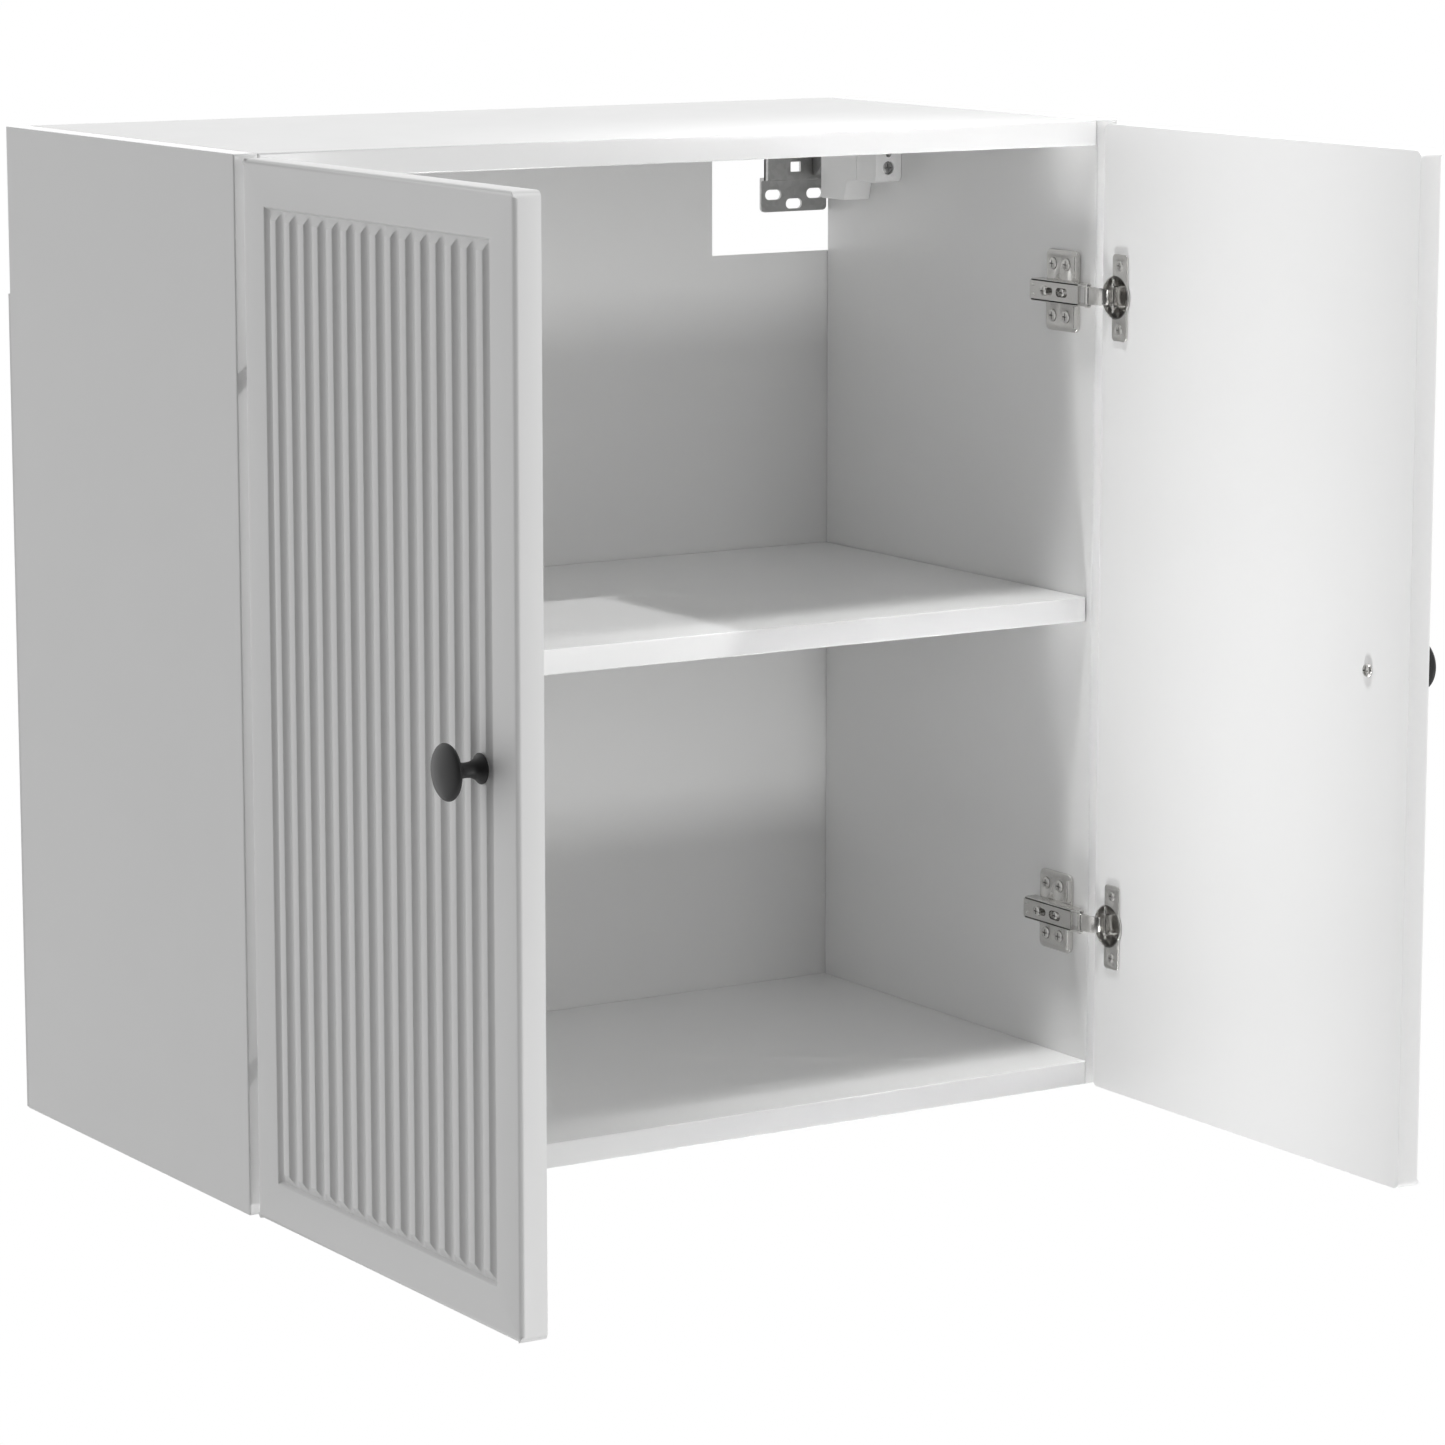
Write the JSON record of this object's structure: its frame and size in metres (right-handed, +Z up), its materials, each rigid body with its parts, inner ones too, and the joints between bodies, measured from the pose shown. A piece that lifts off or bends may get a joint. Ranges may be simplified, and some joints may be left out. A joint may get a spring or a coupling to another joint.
{
  "type": "hanging wall cabinet",
  "caption": "Wall-hung storage cabinet with a fixed-height shelf, ribbed doors on concealed hinges, and adjustable hangers that hook onto wall plates.",
  "frame": {"origin": "centre of the back panel's rear face, in the plane of the wall", "axes": "+X to the right seen from the room, +Y into the wall, +Z up; the doors are on the -Y side and stand open at rest"},
  "size_m": [0.65, 0.6064, 0.6],
  "materials": {
    "carcass_board": "white melamine coating on chipboard, smooth satin",
    "door_foil": "white satin foil on milled fibreboard",
    "back_board": "white lacquered hardboard",
    "nickel": "nickel-plated pressed steel",
    "zinc": "zinc-plated steel",
    "white_plastic": "moulded white plastic",
    "black_paint": "satin black powder coat"
  },
  "bodies": {
    "carcass": {"side_panel_left": "carcass_board", "side_panel_right": "carcass_board", "top_panel": "carcass_board", "bottom_panel": "carcass_board", "back_panel": "back_board", "shelf": "carcass_board", "shelf_pin_left_front": "nickel", "shelf_pin_left_rear": "nickel", "shelf_pin_right_front": "nickel", "shelf_pin_right_rear": "nickel", "cam_lock_top_left_front": "zinc", "cam_lock_top_left_rear": "zinc", "cam_lock_top_right_front": "zinc", "cam_lock_top_right_rear": "zinc", "cam_lock_bottom_left_front": "zinc", "cam_lock_bottom_left_rear": "zinc", "cam_lock_bottom_right_front": "zinc", "cam_lock_bottom_right_rear": "zinc", "hinge_plate_left_upper": "nickel", "hinge_plate_left_lower": "nickel", "hinge_plate_right_upper": "nickel", "hinge_plate_right_lower": "nickel", "hinge_arm_left_upper": "nickel", "hinge_arm_left_lower": "nickel", "hinge_arm_right_upper": "nickel", "hinge_arm_right_lower": "nickel", "hinge_overlay_screw_left_upper": "nickel", "hinge_overlay_screw_left_lower": "nickel", "hinge_overlay_screw_right_upper": "nickel", "hinge_overlay_screw_right_lower": "nickel", "hinge_clamp_screw_left_upper": "nickel", "hinge_clamp_screw_left_lower": "nickel", "hinge_clamp_screw_right_upper": "nickel", "hinge_clamp_screw_right_lower": "nickel", "hanger_housing_left": "white_plastic", "hanger_housing_right": "white_plastic", "hanger_height_screw_left": "zinc", "hanger_height_screw_right": "zinc", "hanger_depth_screw_left": "zinc", "hanger_depth_screw_right": "zinc"},
    "links_left": {"hinge_link_left_upper": "nickel", "hinge_link_left_lower": "nickel"},
    "links_right": {"hinge_link_right_upper": "nickel", "hinge_link_right_lower": "nickel"},
    "door_left": {"door_panel_left": "door_foil", "knob_left": "black_paint", "knob_screw_left": "nickel", "hinge_cup_left_upper": "nickel", "hinge_cup_left_lower": "nickel"},
    "door_right": {"door_panel_right": "door_foil", "knob_right": "black_paint", "knob_screw_right": "nickel", "hinge_cup_right_upper": "nickel", "hinge_cup_right_lower": "nickel"},
    "carrier_left": {"hanger_carrier_left": "zinc"},
    "carrier_right": {"hanger_carrier_right": "zinc"},
    "hook_left": {"hanger_hook_left": "zinc", "wall_plate_left": "zinc"},
    "hook_right": {"hanger_hook_right": "zinc", "wall_plate_right": "zinc"}
  },
  "joints": [
    {"name": "links_left_fold", "type": "hinge", "parent": "carcass", "child": "links_left", "pos_m": [-0.2765, -0.304, 0], "axis": [0, 0, 1], "range_deg": [-45, 10]},
    {"name": "door_left_swing", "type": "hinge", "parent": "links_left", "child": "door_left", "pos_m": [-0.28688, -0.31604, 0], "axis": [0, 0, 1], "range_deg": [-30, 135]},
    {"name": "links_right_fold", "type": "hinge", "parent": "carcass", "child": "links_right", "pos_m": [0.2765, -0.304, 0], "axis": [0, 0, -1], "range_deg": [-45, 10]},
    {"name": "door_right_swing", "type": "hinge", "parent": "links_right", "child": "door_right", "pos_m": [0.28688, -0.31604, 0], "axis": [0, 0, -1], "range_deg": [-30, 135]},
    {"name": "hanger_left_height", "type": "slide", "parent": "carcass", "child": "carrier_left", "axis": [0, 0, 1], "range_m": [-0.005, 0.005]},
    {"name": "hanger_left_depth", "type": "slide", "parent": "carrier_left", "child": "hook_left", "axis": [0, 1, 0], "range_m": [0, 0.008]},
    {"name": "hanger_right_height", "type": "slide", "parent": "carcass", "child": "carrier_right", "axis": [0, 0, 1], "range_m": [-0.005, 0.005]},
    {"name": "hanger_right_depth", "type": "slide", "parent": "carrier_right", "child": "hook_right", "axis": [0, 1, 0], "range_m": [0, 0.008]}
  ],
  "couplings": [
    {"joint": "links_left_fold", "follows": "door_left_swing", "ratio": -0.33333},
    {"joint": "links_right_fold", "follows": "door_right_swing", "ratio": -0.33333}
  ]
}
